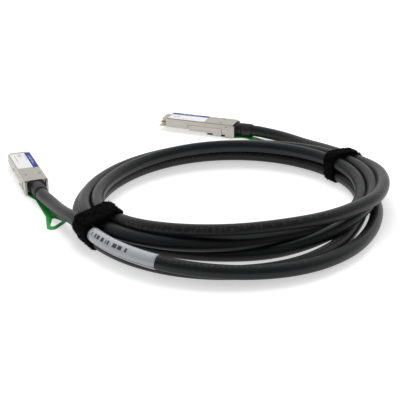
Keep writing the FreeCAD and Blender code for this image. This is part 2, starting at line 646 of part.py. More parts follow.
def cable_label(coil):
    """The printed sleeve round the outermost front strand, where it stands out of the coil."""
    last = [s for s in ring_stations() if s[0] > ring_stations()[-1][0] - 3 * STATION_STEP]
    turns_before = 360 * math.floor(last[-1][0] / 360)
    points = []
    for azimuth in (LABEL_FIRST_AZIMUTH, (LABEL_FIRST_AZIMUTH + LABEL_LAST_AZIMUTH) / 2, LABEL_LAST_AZIMUTH):
        wanted = azimuth + turns_before
        first, second = next(pair for pair in zip(last, last[1:]) if pair[1][0] >= wanted)
        share = (wanted - first[0]) / (second[0] - first[0])
        points.append(coil_point(azimuth, *(first[k] + share * (second[k] - first[k]) for k in (1, 2))))
    arc = Part.Arc(*points).toShape()
    tangent = arc.tangentAt(arc.FirstParameter)
    section = Part.Wire(Part.makeCircle(CABLE_RADIUS + CABLE_LABEL_THICKNESS, points[0], tangent))
    sleeve = Part.Wire(arc).makePipeShell([section], True, False)
    reach = sleeve.BoundBox
    floor = box(reach.XMin, reach.XMax, reach.YMin, reach.YMax, min(reach.ZMin, 0.0) - 1, 0)
    return largest(sleeve.cut([coil, floor]))


def strand_of(point):
    """(radius, height) of a place in the coil."""
    return (math.hypot(point.x - COIL_CENTRE[0], point.y - COIL_CENTRE[1]), point.z)


def write_plug(suffix, plug):
    """Write the pieces of one plug."""
    pieces = {
        "base_shell": base_shell(),
        "top_cover": top_cover(),
        "cover_screws": cover_screws(),
        "paddle_card": paddle_card(),
        "contact_fingers": contact_fingers(),
        "cable_boot": cable_boot(),
        "crimp_ring": crimp_ring(),
        "wire_pairs": wire_pairs(),
        "latch_slider": latch_slider(),
        "return_springs": return_springs(),
        "pull_tab": pull_tab(plug["drift"], plug["tab_bend"]),
        "plug_label": plug_label(),
    }
    for name, shape in pieces.items():
        write(name + "_" + suffix, to_row(shape, plug))


def write(name, shape):
    """Write one node's solid."""
    shape.exportStep("parts/" + name + ".step")


def write_cable():
    """Write the coil, the two tails, the straps and the cable's label."""
    stations = ring_stations()
    first_turn = coil_point(*stations[0])
    last_turn = coil_point(*stations[-1])
    start_a = boot_points(PLUGS["a"])
    start_b = boot_points(PLUGS["b"])
    route_a = start_a + [V(*point) for point in TAIL_A] + [first_turn]
    route_b = [last_turn] + [V(*point) for point in TAIL_B] + start_b[::-1]
    coil = cable_coil()
    tail_a = largest(tail_tube(route_a, "tail a").cut(coil))
    tail_b = largest(tail_tube(route_b, "tail b").cut(coil))
    write("cable_coil", coil)
    write("cable_tail_a", tail_a)
    write("cable_tail_b", tail_b)
    back_strand = strand_of(route_a[6])
    front_strand = strand_of(last_turn)
    fillings = [coil, tail_a, tail_b]
    write("strap_back", strap(STRAP_BACK_AZIMUTH, STRAP_BACK_WIDTH, back_strand, fillings))
    write("strap_front", strap(STRAP_FRONT_AZIMUTH, STRAP_FRONT_WIDTH, front_strand, fillings))
    write("cable_label", cable_label(coil))


os.makedirs("parts", exist_ok=True)
for suffix, plug in PLUGS.items():
    write_plug(suffix, plug)
write_cable()
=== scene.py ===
"""A coiled direct attach copper cable on a white floor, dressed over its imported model."""
import math

import bpy
import bmesh
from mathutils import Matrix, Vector


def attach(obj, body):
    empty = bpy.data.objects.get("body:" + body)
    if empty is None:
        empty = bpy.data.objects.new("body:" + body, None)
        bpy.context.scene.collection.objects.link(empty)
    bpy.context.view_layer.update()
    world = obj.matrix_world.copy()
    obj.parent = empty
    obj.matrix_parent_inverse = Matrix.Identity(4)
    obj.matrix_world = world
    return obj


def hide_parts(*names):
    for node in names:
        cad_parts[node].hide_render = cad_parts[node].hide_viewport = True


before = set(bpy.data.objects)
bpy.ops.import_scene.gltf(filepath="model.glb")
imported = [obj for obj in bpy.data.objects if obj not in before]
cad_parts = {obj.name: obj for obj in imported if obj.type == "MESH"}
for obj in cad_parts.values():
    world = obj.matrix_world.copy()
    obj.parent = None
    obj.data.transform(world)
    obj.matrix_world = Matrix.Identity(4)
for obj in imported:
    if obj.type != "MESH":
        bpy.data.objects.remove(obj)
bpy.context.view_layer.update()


# ---- the studio ------------------------------------------------------------------------------
# A plain white sweep under soft light, and a camera that looks down on the coil at a low angle.
# The floor is matt white card, which keeps a faint shadow where the cable touches it.
MM = 0.001


def linear(code):
    """An sRGB hex colour as linear red, green, blue and alpha."""
    parts = [int(code[i:i + 2], 16) / 255 for i in (0, 2, 4)]
    low = 0.04045
    curved = [c / 12.92 if c <= low else ((c + 0.055) / 1.055) ** 2.4 for c in parts]
    return (*curved, 1.0)


def add(tree, kind, inputs=None, **settings):
    """Add a node with its settings, its values and the links into it."""
    node = tree.nodes.new(kind)
    for name, value in settings.items():
        setattr(node, name, value)
    for name, value in (inputs or {}).items():
        if isinstance(value, bpy.types.NodeSocket):
            tree.links.new(value, node.inputs[name])
        else:
            node.inputs[name].default_value = value
    return node


def new_material(name):
    """An empty material, its tree and its output node."""
    material = bpy.data.materials.new(name)
    material.use_nodes = True
    material.node_tree.nodes.clear()
    output = add(material.node_tree, "ShaderNodeOutputMaterial")
    return material, material.node_tree, output


def new_object(name, vertices, faces, material):
    """A smooth mesh object at the origin."""
    mesh = bpy.data.meshes.new(name)
    mesh.from_pydata([tuple(v) for v in vertices], [], faces)
    mesh.shade_smooth()
    mesh.materials.append(material)
    piece = bpy.data.objects.new(name, mesh)
    bpy.context.collection.objects.link(piece)
    return piece


# matt card: an even white, lifted to full white by a glow that is only seen and lights nothing
FLOOR_SIZE = 8.0
FLOOR_GLOW = 0.52
half = FLOOR_SIZE / 2
card, tree, output = new_material("matt_white_card")
path = add(tree, "ShaderNodeLightPath")
glossy = add(tree, "ShaderNodeMath", {0: path.outputs["Is Camera Ray"],
                                      1: path.outputs["Is Glossy Ray"]}, operation="MAXIMUM")
seen = add(tree, "ShaderNodeMath", {0: glossy.outputs[0],
                                    1: path.outputs["Is Transmission Ray"]}, operation="MAXIMUM")
surface = add(tree, "ShaderNodeBsdfDiffuse", {"Color": linear("E4E4E4")})
strength = add(tree, "ShaderNodeMath", {0: seen.outputs[0], 1: FLOOR_GLOW}, operation="MULTIPLY")
glow = add(tree, "ShaderNodeEmission", {"Strength": strength.outputs[0]})
both = add(tree, "ShaderNodeAddShader", {0: surface.outputs[0], 1: glow.outputs[0]})
tree.links.new(both.outputs[0], output.inputs["Surface"])
floor_corners = [(-half, -half, 0), (half, -half, 0), (half, half, 0), (-half, half, 0)]
floor = new_object("floor", floor_corners, [(0, 1, 2, 3)], card)

# the room is white all round, but gloss sees it dim on the camera's side of the object
WORLD_LIGHT = 0.48
ROOM_DIM = 0.25             # how bright gloss sees the dim side
ROOM_DIM_UNTIL = -0.5       # the Y of a direction where the room starts to brighten
ROOM_WHITE_FROM = 0.8       # and where it is white
world = bpy.data.worlds.new("white_room")
bpy.context.scene.world = world
world.use_nodes = True
tree = world.node_tree
tree.nodes.clear()
coords = add(tree, "ShaderNodeTexCoord")
heading = add(tree, "ShaderNodeSeparateXYZ", {0: coords.outputs["Generated"]})
room = add(tree, "ShaderNodeMapRange",
           {"Value": heading.outputs["Y"], "From Min": ROOM_DIM_UNTIL, "From Max": ROOM_WHITE_FROM,
            "To Min": ROOM_DIM, "To Max": 1.0})
path = add(tree, "ShaderNodeLightPath")
shiny = add(tree, "ShaderNodeMath", {0: path.outputs["Is Glossy Ray"],
                                     1: path.outputs["Is Transmission Ray"]}, operation="MAXIMUM")
level = add(tree, "ShaderNodeMix", {0: shiny.outputs[0], 2: WORLD_LIGHT, 3: room.outputs[0]})
white = add(tree, "ShaderNodeMath", {0: level.outputs[0], 1: path.outputs["Is Camera Ray"]},
            operation="MAXIMUM")
sky = add(tree, "ShaderNodeBackground", {"Color": (1, 1, 1, 1), "Strength": white.outputs[0]})
add(tree, "ShaderNodeOutputWorld", {"Surface": sky.outputs[0]})

# one square softbox above and behind, whose own reflection stays out of the gloss
SOFTBOX_PLACE = Vector((0.0, 0.55, 1.2))
SOFTBOX_TARGET = Vector((0.03, -0.05, 0.0))
SOFTBOX_SIDE = 0.9
SOFTBOX_WATTS = 10.0
lamp = bpy.data.lights.new("softbox_above", "AREA")
lamp.energy = SOFTBOX_WATTS
lamp.size = SOFTBOX_SIDE
holder = bpy.data.objects.new("softbox_above", lamp)
holder.location = SOFTBOX_PLACE
aim = SOFTBOX_TARGET - SOFTBOX_PLACE
holder.rotation_euler = aim.to_track_quat("-Z", "Y").to_euler()
holder.visible_glossy = False
bpy.context.collection.objects.link(holder)

CAMERA_PLACE = (36.9 * MM, -789.1 * MM, 308.1 * MM)
LOOK_DOWN = 23.0            # degrees below level
FOCAL_LENGTH = 91.35        # millimetres, on a sensor this wide
SENSOR_WIDTH = 36.0
lens = bpy.data.cameras.new("camera")
lens.lens = FOCAL_LENGTH
lens.sensor_width = SENSOR_WIDTH
camera = bpy.data.objects.new("camera", lens)
camera.location = CAMERA_PLACE
camera.rotation_euler = (math.radians(90 - LOOK_DOWN), 0, 0)
bpy.context.collection.objects.link(camera)
bpy.context.scene.camera = camera
bpy.context.scene.view_settings.view_transform = "Standard"


# ---- the cable -------------------------------------------------------------------------------
# One round cable of foil-wrapped copper pairs in a black PVC jacket, extruded and then wound by
# hand.  It leaves the rear plug, makes four and a half turns and runs out to the left plug.
ROOT = "cable_and_plugs"
CABLE_DIAMETER = 9.8        # millimetres, as is every place and length down to TAIL_B
CABLE_SIDES = 32
COIL_CENTRE = (57.4, -84.5)
STATION_STEP = 45.0
FIRST_STATION = 112.5
# each turn as (radius, height) at its eight stations, clockwise from above
TURNS = [
    [(106.4, 24.9), (90.0, 25.8), (93.6, 23.8), (98.0, 16.4),
     (94.8, 13.4), (94.2, 16.2), (101.8, 16.8), (107.0, 16.2)],
    [(93.2, 12.1), (80.5, 12.4), (98.0, 15.8), (107.9, 13.8),
     (103.7, 11.4), (107.7, 10.4), (115.3, 13.1), (116.2, 17.6)],
    [(101.6, 15.2), (85.9, 4.9), (87.2, 4.9), (100.0, 5.4),
     (98.2, 4.9), (98.6, 7.4), (106.6, 6.9), (107.5, 6.0)],
    [(97.4, 4.9), (109.4, 4.9), (113.2, 4.9), (112.0, 4.9),
     (110.8, 4.9), (115.1, 4.9), (121.6, 5.6), (115.2, 4.9)],
    [(110.6, 4.9), (119.4, 7.5), (120.0, 11.3), (115.8, 13.6)],
]
BEFORE_FIRST = (118.6, 19.2)
# each plug's place and the way that its nose points, in degrees from +X
PLUGS = {"a": (67.8, 87.9, 160.4), "b": (-91.9, -50.5, 111.3)}
CABLE_EXIT_HEIGHT = 6.8
BOOT_LENGTH = 8.0
BOOT_RUN = 12.0             # the straight stretch of cable behind each boot
TAIL_A = [(96.9, 74.9, 6.8), (112.4, 63.0, 6.8), (127.9, 44.0, 7.4), (145.4, 17.0, 11.5),
          (161.9, -12.5, 15.0), (176.4, -42.6, 18.2), (176.3, -76.7, 22.0), (169.6, -102.9, 23.0)]
TAIL_B = [(-64.1, -108.5, 9.6), (-74.1, -88.0, 7.6)]


def ring_stations():
    """(azimuth, radius, height) of the coiled cable, two for each station of the turns."""
    spots = [spot for turn in TURNS for spot in turn]
    stations = []
    for index, spot in enumerate(spots):
        azimuth = FIRST_STATION + STATION_STEP * index
        stations.append((azimuth, spot[0], spot[1]))
        if index + 1 < len(spots):
            before = spots[index - 1] if index else BEFORE_FIRST
            after = spots[min(index + 2, len(spots) - 1)]
            # halfway between two stations, on the smooth curve through four
            radius, height = [(9 * (spot[k] + spots[index + 1][k]) - before[k] - after[k]) / 16
                              for k in (0, 1)]
            stations.append((azimuth + STATION_STEP / 2, radius, max(height, CABLE_DIAMETER / 2)))
    return stations


def boot_points(plug):
    """The middle of a boot's mouth and the end of the straight stretch out of it."""
    x, y, heading = plug
    angle = math.radians(heading)
    reaches = (BOOT_LENGTH, BOOT_LENGTH + BOOT_RUN)
    return [(x - r * math.cos(angle), y - r * math.sin(angle), CABLE_EXIT_HEIGHT) for r in reaches]


# a control point stands this much further out than the curve that it makes
outside = 1 / math.cos(math.radians(STATION_STEP / 4))
ring = []
for azimuth, radius, height in ring_stations():
    angle = math.radians(azimuth)
    ring.append((COIL_CENTRE[0] + outside * radius * math.sin(angle),
                 COIL_CENTRE[1] + outside * radius * math.cos(angle), height))
controls = boot_points(PLUGS["a"]) + TAIL_A + ring + TAIL_B + boot_points(PLUGS["b"])[::-1]
curve = bpy.data.curves.new("cable_route", "CURVE")
curve.dimensions = "3D"
curve.resolution_u = 16
spline = curve.splines.new("NURBS")
spline.points.add(len(controls) - 1)
for point, place in zip(spline.points, controls):
    point.co = (place[0] * MM, place[1] * MM, place[2] * MM, 1.0)
spline.order_u = 3
spline.use_endpoint_u = True
route = bpy.data.objects.new("cable_route", curve)
bpy.context.collection.objects.link(route)
line = bpy.data.meshes.new_from_object(route)
centres = [vertex.co.copy() for vertex in line.vertices]
bpy.data.objects.remove(route)


def lengths_along(points):
    """The distance of each point from the first, along the line."""
    total = [0.0]
    for a, b in zip(points, points[1:]):
        total.append(total[-1] + (b - a).length)
    return total


def tube(name, points, radii, sides, material):
    """A closed round tube along points, with a UV map of metres along it and turns round it."""
    along = lengths_along(points)
    vertices = []
    for index, centre in enumerate(points):
        ahead = points[min(index + 1, len(points) - 1)] - points[max(index - 1, 0)]
        side = ahead.cross(Vector((0, 0, 1))).normalized()
        up = side.cross(ahead).normalized()
        for k in range(sides):
            angle = 2 * math.pi * k / sides
            rim = side * math.cos(angle) + up * math.sin(angle)
            vertices.append(centre + rim * radii[index])
    faces = []
    corner_uv = []
    for index in range(len(points) - 1):
        here, there = index * sides, (index + 1) * sides
        for k in range(sides):
            far = (k + 1) % sides
            faces.append((here + k, there + k, there + far, here + far))
            for step, turn in ((0, k), (1, k), (1, k + 1), (0, k + 1)):
                corner_uv.append((along[index + step], turn / sides))
    last = (len(points) - 1) * sides
    faces.append(tuple(range(sides)))
    faces.append(tuple(last + k for k in range(sides - 1, -1, -1)))
    corner_uv += [(along[0], 0.0)] * sides + [(along[-1], 0.0)] * sides
    piece = new_object(name, vertices, faces, material)
    layer = piece.data.uv_layers.new(name="along_and_round")
    for loop, uv in enumerate(corner_uv):
        layer.data[loop].uv = uv
    return piece


# extruded PVC: satin black, with a faint brownish ink line of small plain marks
PRINT_TWIST = 1.1           # turns of the ink line round the cable for each metre
PRINT_PLACE = -0.031        # turns round at the start of the cable
PRINT_HEIGHT = 4.6 * MM
PRINT_DEPTH = 0.34          # how much of the thin ink's colour shows
MARK_PITCH = 1.3 * MM
MARK_ROWS = 3
MARK_BLANK = 0.45           # the share of marks that are left blank
SIGN_MARKS = 3              # marks from one sign to the next
SIGN_FILL = 0.72            # the share of that distance that the sign takes
JACKET_CLOUD = 16.7         # millimetres across the jacket's faint clouds
JACKET_GRAIN = 0.455        # millimetres between grains of the extruded skin, drawn coarse
jacket, tree, output = new_material("extruded_black_pvc")
uv = add(tree, "ShaderNodeUVMap", uv_map="along_and_round")
split = add(tree, "ShaderNodeSeparateXYZ", {0: uv.outputs[0]})
place = add(tree, "ShaderNodeMath", {0: split.outputs["X"], 1: PRINT_TWIST, 2: PRINT_PLACE},
            operation="MULTIPLY_ADD")
across = add(tree, "ShaderNodeMath", {0: split.outputs["Y"], 1: place.outputs[0]},
             operation="SUBTRACT")
wrapped = add(tree, "ShaderNodeMath", {0: across.outputs[0], 1: 0.5, 2: -0.5}, operation="WRAP")
offset = add(tree, "ShaderNodeMath", {0: wrapped.outputs[0]}, operation="ABSOLUTE")
band_half = PRINT_HEIGHT / (math.pi * CABLE_DIAMETER * MM) / 2
in_band = add(tree, "ShaderNodeMath", {0: offset.outputs[0], 1: band_half}, operation="LESS_THAN")
cell = add(tree, "ShaderNodeMath", {0: split.outputs["X"], 1: 1 / MARK_PITCH},
           operation="MULTIPLY")
whole = add(tree, "ShaderNodeMath", {0: cell.outputs[0]}, operation="FLOOR")
row = add(tree, "ShaderNodeMath", {0: wrapped.outputs[0], 1: MARK_ROWS / 2 / band_half},
          operation="MULTIPLY")
row_whole = add(tree, "ShaderNodeMath", {0: row.outputs[0]}, operation="FLOOR")
key = add(tree, "ShaderNodeCombineXYZ", {0: whole.outputs[0], 1: row_whole.outputs[0]})
dice = add(tree, "ShaderNodeTexWhiteNoise", {"Vector": key.outputs[0]}, noise_dimensions="2D")
inked = add(tree, "ShaderNodeMath", {0: dice.outputs["Value"], 1: MARK_BLANK},
            operation="GREATER_THAN")
sign = add(tree, "ShaderNodeMath", {0: cell.outputs[0], 1: 1 / SIGN_MARKS}, operation="MULTIPLY")
sign_part = add(tree, "ShaderNodeMath", {0: sign.outputs[0]}, operation="FRACT")
stroke = add(tree, "ShaderNodeMath", {0: sign_part.outputs[0], 1: SIGN_FILL},
             operation="LESS_THAN")
marks = add(tree, "ShaderNodeMath", {0: in_band.outputs[0], 1: inked.outputs[0]},
            operation="MULTIPLY")
ink = add(tree, "ShaderNodeMath", {0: marks.outputs[0], 1: stroke.outputs[0]},
          operation="MULTIPLY")
faded = add(tree, "ShaderNodeMath", {0: ink.outputs[0], 1: PRINT_DEPTH}, operation="MULTIPLY")
coords = add(tree, "ShaderNodeTexCoord")
clouds = add(tree, "ShaderNodeTexNoise", {"Vector": coords.outputs["Object"],
                                          "Scale": 1000 / JACKET_CLOUD, "Detail": 3.0})
shade = add(tree, "ShaderNodeMix", {0: clouds.outputs["Fac"], 6: linear("101113"),
                                    7: linear("17191C")}, data_type="RGBA")
colour = add(tree, "ShaderNodeMix", {0: faded.outputs[0], 6: shade.outputs[2],
                                     7: linear("48433E")}, data_type="RGBA")
grain = add(tree, "ShaderNodeTexNoise", {"Vector": coords.outputs["Object"],
                                         "Scale": 1000 / JACKET_GRAIN, "Detail": 2.0})
bump = add(tree, "ShaderNodeBump", {"Height": grain.outputs["Fac"], "Strength": 0.12,
                                    "Distance": 0.05 * MM})
rough = add(tree, "ShaderNodeMapRange", {"Value": clouds.outputs["Fac"], "To Min": 0.34,
                                         "To Max": 0.46})
pvc = add(tree, "ShaderNodeBsdfPrincipled", {"Base Color": colour.outputs[2],
                                             "Roughness": rough.outputs[0], "IOR": 1.54,
                                             "Specular IOR Level": 0.3,
                                             "Normal": bump.outputs[0]})
tree.links.new(pvc.outputs[0], output.inputs["Surface"])

cable = tube("cable", centres, [CABLE_DIAMETER / 2 * MM] * len(centres), CABLE_SIDES, jacket)
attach(cable, ROOT)
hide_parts("cable_coil", "cable_tail_a", "cable_tail_b")


# ---- the two straps --------------------------------------------------------------------------
# Black hook-and-loop tape, napped nylon on a woven back, pulled round the bundle by hand and
# pressed onto itself.  The loop face shows outside, and its end lies over the first layer.
STRAP_THICKNESS = 1.6 * MM
STRAP_ROUNDING = 0.6 * MM
STRAP_SLACK = 0.1 * MM      # between the tape's back and the jacket
TONGUE_SHARE = 0.96         # the width of the pressed-down end, as a share of the strap's
EDGE_THINNER = 0.45         # how much thinner the tape is at its very edge
EDGE_CURL = 0.12            # how far its back rises there, as a share of the thickness
TAPE_DRIFT = 0.35 * MM      # how far the tape wanders sideways on its way round
TAPE_RIPPLE = 0.12 * MM
RIPPLE_ROUND = 3            # radians of ripple for each radian round the bundle
RIPPLE_ACROSS = 300         # radians of ripple for each metre across the tape
FLOOR_GAP = 0.05 * MM
NAP_CLEARANCE = 1.2 * MM    # no loops on tape that lies closer to the floor than this
TAPE_CELLS = 14             # faces across the tape
FINE_STEPS = 720            # places of the outline before they are spaced evenly
OUTLINE_STEPS = 150


def crossings(points, azimuth):
    """(radius, height) of each place where the cable crosses an azimuth of the coil."""
    angle = math.radians(azimuth)
    outward = Vector((math.sin(angle), math.cos(angle), 0))
    along = Vector((math.cos(angle), -math.sin(angle), 0))
    centre = Vector((COIL_CENTRE[0] * MM, COIL_CENTRE[1] * MM, 0))
    found = []
    for a, b in zip(points, points[1:]):
        before = (a - centre).dot(along)
        after = (b - centre).dot(along)
        if before < 0 <= after and (a - centre).dot(outward) > 0:
            place = a.lerp(b, before / (before - after)) - centre
            found.append((place.dot(outward), place.z))
    return found


def wrap_outline(strands, margin, steps):
    """Evenly spaced places and outward directions of a tight band round the strands."""
    reach = CABLE_DIAMETER / 2 * MM + margin
    fine = []
    for k in range(FINE_STEPS):
        angle = 2 * math.pi * k / FINE_STEPS
        c, s = math.cos(angle), math.sin(angle)
        radius, height = max(strands, key=lambda strand: strand[0] * c + strand[1] * s)
        fine.append(Vector((radius + reach * c, height + reach * s, 0)))
    fine.append(fine[0])
    along = lengths_along(fine)
    places = []
    index = 0
    for k in range(steps):
        wanted = along[-1] * k / steps
        while along[index + 1] < wanted:
            index += 1
        share = (wanted - along[index]) / max(along[index + 1] - along[index], 1e-9)
        places.append(fine[index].lerp(fine[index + 1], share))
    directions = []
    for k in range(steps):
        ahead = places[(k + 1) % steps] - places[k - 1]
        directions.append(Vector((ahead.y, -ahead.x, 0)).normalized())
    return places, directions


def wave(position, seed):
    """A slow uneven wave between -1 and 1, for tape that isn't quite flat."""
    return 0.6 * math.sin(5.0 * position + seed) + 0.4 * math.sin(11.0 * position + 2.3 * seed)


def band(name, azimuth, width, margin, start, end, seed, material):
    """A strip of tape with rounded edges, round the bundle from start to end of its outline."""
    angle = math.radians(azimuth)
    outward = Vector((math.sin(angle), math.cos(angle), 0))
    along = Vector((math.cos(angle), -math.sin(angle), 0))
    centre = Vector((COIL_CENTRE[0] * MM, COIL_CENTRE[1] * MM, 0))
    places, directions = wrap_outline(crossings(centres, azimuth), margin, OUTLINE_STEPS)
    closed = end - start >= 1
    count = round((end - start) * OUTLINE_STEPS) + (0 if closed else 1)
    first = round(start * OUTLINE_STEPS)
    half_width = width / 2
    steps_across = [-half_width + width * k / TAPE_CELLS for k in range(TAPE_CELLS + 1)]
    section = [(w, 0.0) for w in steps_across]
    section += [(w, STRAP_THICKNESS) for w in reversed(steps_across)]
    vertices = []
    napped = []
    for k in range(count):
        place = places[(first + k) % OUTLINE_STEPS]
        direction = directions[(first + k) % OUTLINE_STEPS]
        turn = 2 * math.pi * (first + k) / OUTLINE_STEPS
        drift = wave(turn, seed) * TAPE_DRIFT
        for w, h in section:
            edge = max(0.0, abs(w) - half_width + STRAP_ROUNDING) / STRAP_ROUNDING
            if h:
                lift = h * (1 - EDGE_THINNER * edge * edge)
            else:
                lift = EDGE_CURL * STRAP_THICKNESS * edge * edge
            lift += TAPE_RIPPLE * wave(RIPPLE_ROUND * turn + RIPPLE_ACROSS * w, seed + 1)
            spot = place + direction * lift
            point = centre + outward * spot.x + along * (w + drift) + Vector((0, 0, spot.y))
            point.z = max(point.z, FLOOR_GAP)
            vertices.append(point)
    size = len(section)
    faces = []
    for k in range(count if closed else count - 1):
        ahead = (k + 1) % count
        for j in range(size):
            far = (j + 1) % size
            faces.append((k * size + j, ahead * size + j, ahead * size + far, k * size + far))
            napped.append(j > TAPE_CELLS and vertices[k * size + j].z > NAP_CLEARANCE)
    if not closed:
        faces.append(tuple(range(size)))
        faces.append(tuple((count - 1) * size + j for j in range(size - 1, -1, -1)))
        napped += [False, False]
    piece = new_object(name, vertices, faces, material)
    outer = piece.data.attributes.new("napped", "BOOLEAN", "FACE")
    outer.data.foreach_set("value", napped)
    clean = bmesh.new()
    clean.from_mesh(piece.data)
    bmesh.ops.recalc_face_normals(clean, faces=clean.faces)
    clean.to_mesh(piece.data)
    clean.free()
    return piece


# napped black nylon: very dark and matt, its tufts an uneven grain that breaks up the light
LOOP_SPACING = 0.9          # millimetres between tufts of the nap, drawn coarse so that they show
NYLON_FUZZ = 1.43           # millimetres across the darker and lighter spots of the fuzz
nylon, tree, output = new_material("napped_black_nylon_tape")
coords = add(tree, "ShaderNodeTexCoord")
tufts = add(tree, "ShaderNodeTexVoronoi", {"Vector": coords.outputs["Object"],
                                           "Scale": 1000 / LOOP_SPACING})
fuzz = add(tree, "ShaderNodeTexNoise", {"Vector": coords.outputs["Object"],
                                        "Scale": 1000 / NYLON_FUZZ, "Detail": 4.0})
height = add(tree, "ShaderNodeMath", {0: tufts.outputs["Distance"], 1: fuzz.outputs["Fac"]},
             operation="ADD")
nap = add(tree, "ShaderNodeBump", {"Height": height.outputs[0], "Strength": 0.9,
                                   "Distance": 0.4 * MM})
tone = add(tree, "ShaderNodeMix", {0: fuzz.outputs["Fac"], 6: linear("030304"),
                                   7: linear("101011")}, data_type="RGBA")
tape = add(tree, "ShaderNodeBsdfPrincipled", {"Base Color": tone.outputs[2], "Roughness": 0.95,
                                              "Specular IOR Level": 0.1,
                                              "Normal": nap.outputs[0]})
tree.links.new(tape.outputs[0], output.inputs["Surface"])

# loose loops of thread over the outer face, drawn coarser than real nap so that they show
NAP_LOOP = 0.7 * MM
NAP_THREAD = 0.10 * MM
NAP_COUNT = 4.5e5           # loops for each square metre of tape
NAP_TURNS = ((0.5, -0.8, -3.1), (2.4, 0.8, 3.1))    # least and most turn of a loop, in radians
NAP_GROWTH = (0.6, 1.3)     # least and most size of a loop
LOOP_SIDES = 6
THREAD_SIDES = 3
nap_tree = bpy.data.node_groups.new("nap_on_tape", "GeometryNodeTree")
sockets = {}
for label, kind in (("Tape", "Geometry"), ("Loops per area", "Float"), ("Loop radius", "Float"),
                    ("Thread radius", "Float"), ("Seed", "Int"), ("Finish", "Material")):
    socket = nap_tree.interface.new_socket(label, in_out="INPUT", socket_type="NodeSocket" + kind)
    sockets[label] = socket.identifier
nap_tree.interface.new_socket("Napped tape", in_out="OUTPUT", socket_type="NodeSocketGeometry")
given = add(nap_tree, "NodeGroupInput").outputs
face_mark = add(nap_tree, "GeometryNodeInputNamedAttribute", {"Name": "napped"},
                data_type="BOOLEAN")
scatter = add(nap_tree, "GeometryNodeDistributePointsOnFaces",
              {"Mesh": given["Tape"], "Selection": face_mark.outputs["Attribute"],
               "Density": given["Loops per area"], "Seed": given["Seed"]})
ring_line = add(nap_tree, "GeometryNodeCurvePrimitiveCircle",
                {"Resolution": LOOP_SIDES, "Radius": given["Loop radius"]})
thread = add(nap_tree, "GeometryNodeCurvePrimitiveCircle",
             {"Resolution": THREAD_SIDES, "Radius": given["Thread radius"]})
thread_loop = add(nap_tree, "GeometryNodeCurveToMesh", {"Curve": ring_line.outputs["Curve"],
                                                        "Profile Curve": thread.outputs["Curve"]})
tilt = add(nap_tree, "FunctionNodeRandomValue",
           {0: NAP_TURNS[0], 1: NAP_TURNS[1], "Seed": given["Seed"]}, data_type="FLOAT_VECTOR")
turned = add(nap_tree, "FunctionNodeRotateRotation",
             {"Rotation": scatter.outputs["Rotation"], "Rotate By": tilt.outputs[0]},
             rotation_space="LOCAL")
growth = add(nap_tree, "FunctionNodeRandomValue",
             {2: NAP_GROWTH[0], 3: NAP_GROWTH[1], "Seed": given["Seed"]}, data_type="FLOAT")
loops = add(nap_tree, "GeometryNodeInstanceOnPoints",
            {"Points": scatter.outputs["Points"], "Instance": thread_loop.outputs["Mesh"],
             "Rotation": turned.outputs[0], "Scale": growth.outputs[1]})
real_loops = add(nap_tree, "GeometryNodeRealizeInstances", {"Geometry": loops.outputs["Instances"]})
whole_tape = add(nap_tree, "GeometryNodeJoinGeometry", {"Geometry": real_loops.outputs["Geometry"]})
nap_tree.links.new(given["Tape"], whole_tape.inputs["Geometry"])
finished = add(nap_tree, "GeometryNodeSetMaterial", {"Geometry": whole_tape.outputs["Geometry"],
                                                     "Material": given["Finish"]})
add(nap_tree, "NodeGroupOutput", {0: finished.outputs["Geometry"]})


def raise_nap(piece, seed):
    """Cover a piece of tape's outer face with loops of thread."""
    modifier = piece.modifiers.new("nap", "NODES")
    modifier.node_group = nap_tree
    for label, value in (("Loops per area", NAP_COUNT), ("Loop radius", NAP_LOOP),
                         ("Thread radius", NAP_THREAD), ("Seed", seed), ("Finish", nylon)):
        modifier[sockets[label]] = value
    seen = piece.evaluated_get(bpy.context.evaluated_depsgraph_get())
    mesh = bpy.data.meshes.new_from_object(seen)
    piece.modifiers.clear()
    piece.data = mesh


straps = []
# each strap's azimuth, its width, where round the bundle its end lies, and its seed
for name, azimuth, width, flap, seed in (("strap_back", 55.0, 11.0 * MM, (0.10, 0.40), 1.0),
                                         ("strap_front", 239.0, 21.0 * MM, (0.06, 0.36), 4.0)):
    loop = band(name + "_tape", azimuth, width, STRAP_SLACK, 0.0, 1.0, seed, nylon)
    tongue = band(name + "_end", azimuth, width * TONGUE_SHARE, STRAP_THICKNESS,
                  flap[0], flap[1], seed + 7, nylon)
    for piece in (loop, tongue):
        raise_nap(piece, int(seed) + len(straps))
        straps.append(piece)
        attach(piece, ROOT)
    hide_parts(name)


# ---- the cable's label -----------------------------------------------------------------------
# A pale printed vinyl label, wrapped once round the outermost front strand and covered by its own
# clear tail.  It carries plain bars and a dark rule, printed by heat.
LABEL_START = 203.0
LABEL_END = 234.0
LABEL_PROUD = 0.35 * MM
LABEL_SIDES = 48
LAST_TURN_SHARE = 0.2       # of the cable's length, back from plug b
LAST_TURN_REACH = 130 * MM
BAR_WIDTH = 0.9 * MM
BAR_BLANK = 0.38            # the share of bars that are left blank
CODE_ALONG = (38 * MM, 20 * MM)     # the bars' middle and half length
CODE_ROUND = (0.375, 0.046)         # their middle and half height, in turns round
RULE_ROUND = (0.565, 0.010)
coil_middle = Vector((COIL_CENTRE[0] * MM, COIL_CENTRE[1] * MM, 0))


def azimuth_of(point):
    """Degrees clockwise from +Y, seen from above the coil's centre."""
    place = point - coil_middle
    return math.degrees(math.atan2(place.x, place.y)) % 360


last_turn = centres[-int(len(centres) * LAST_TURN_SHARE):]
under_label = [p for p in last_turn if LABEL_START <= azimuth_of(p) <= LABEL_END
               and (p - coil_middle).length < LAST_TURN_REACH]

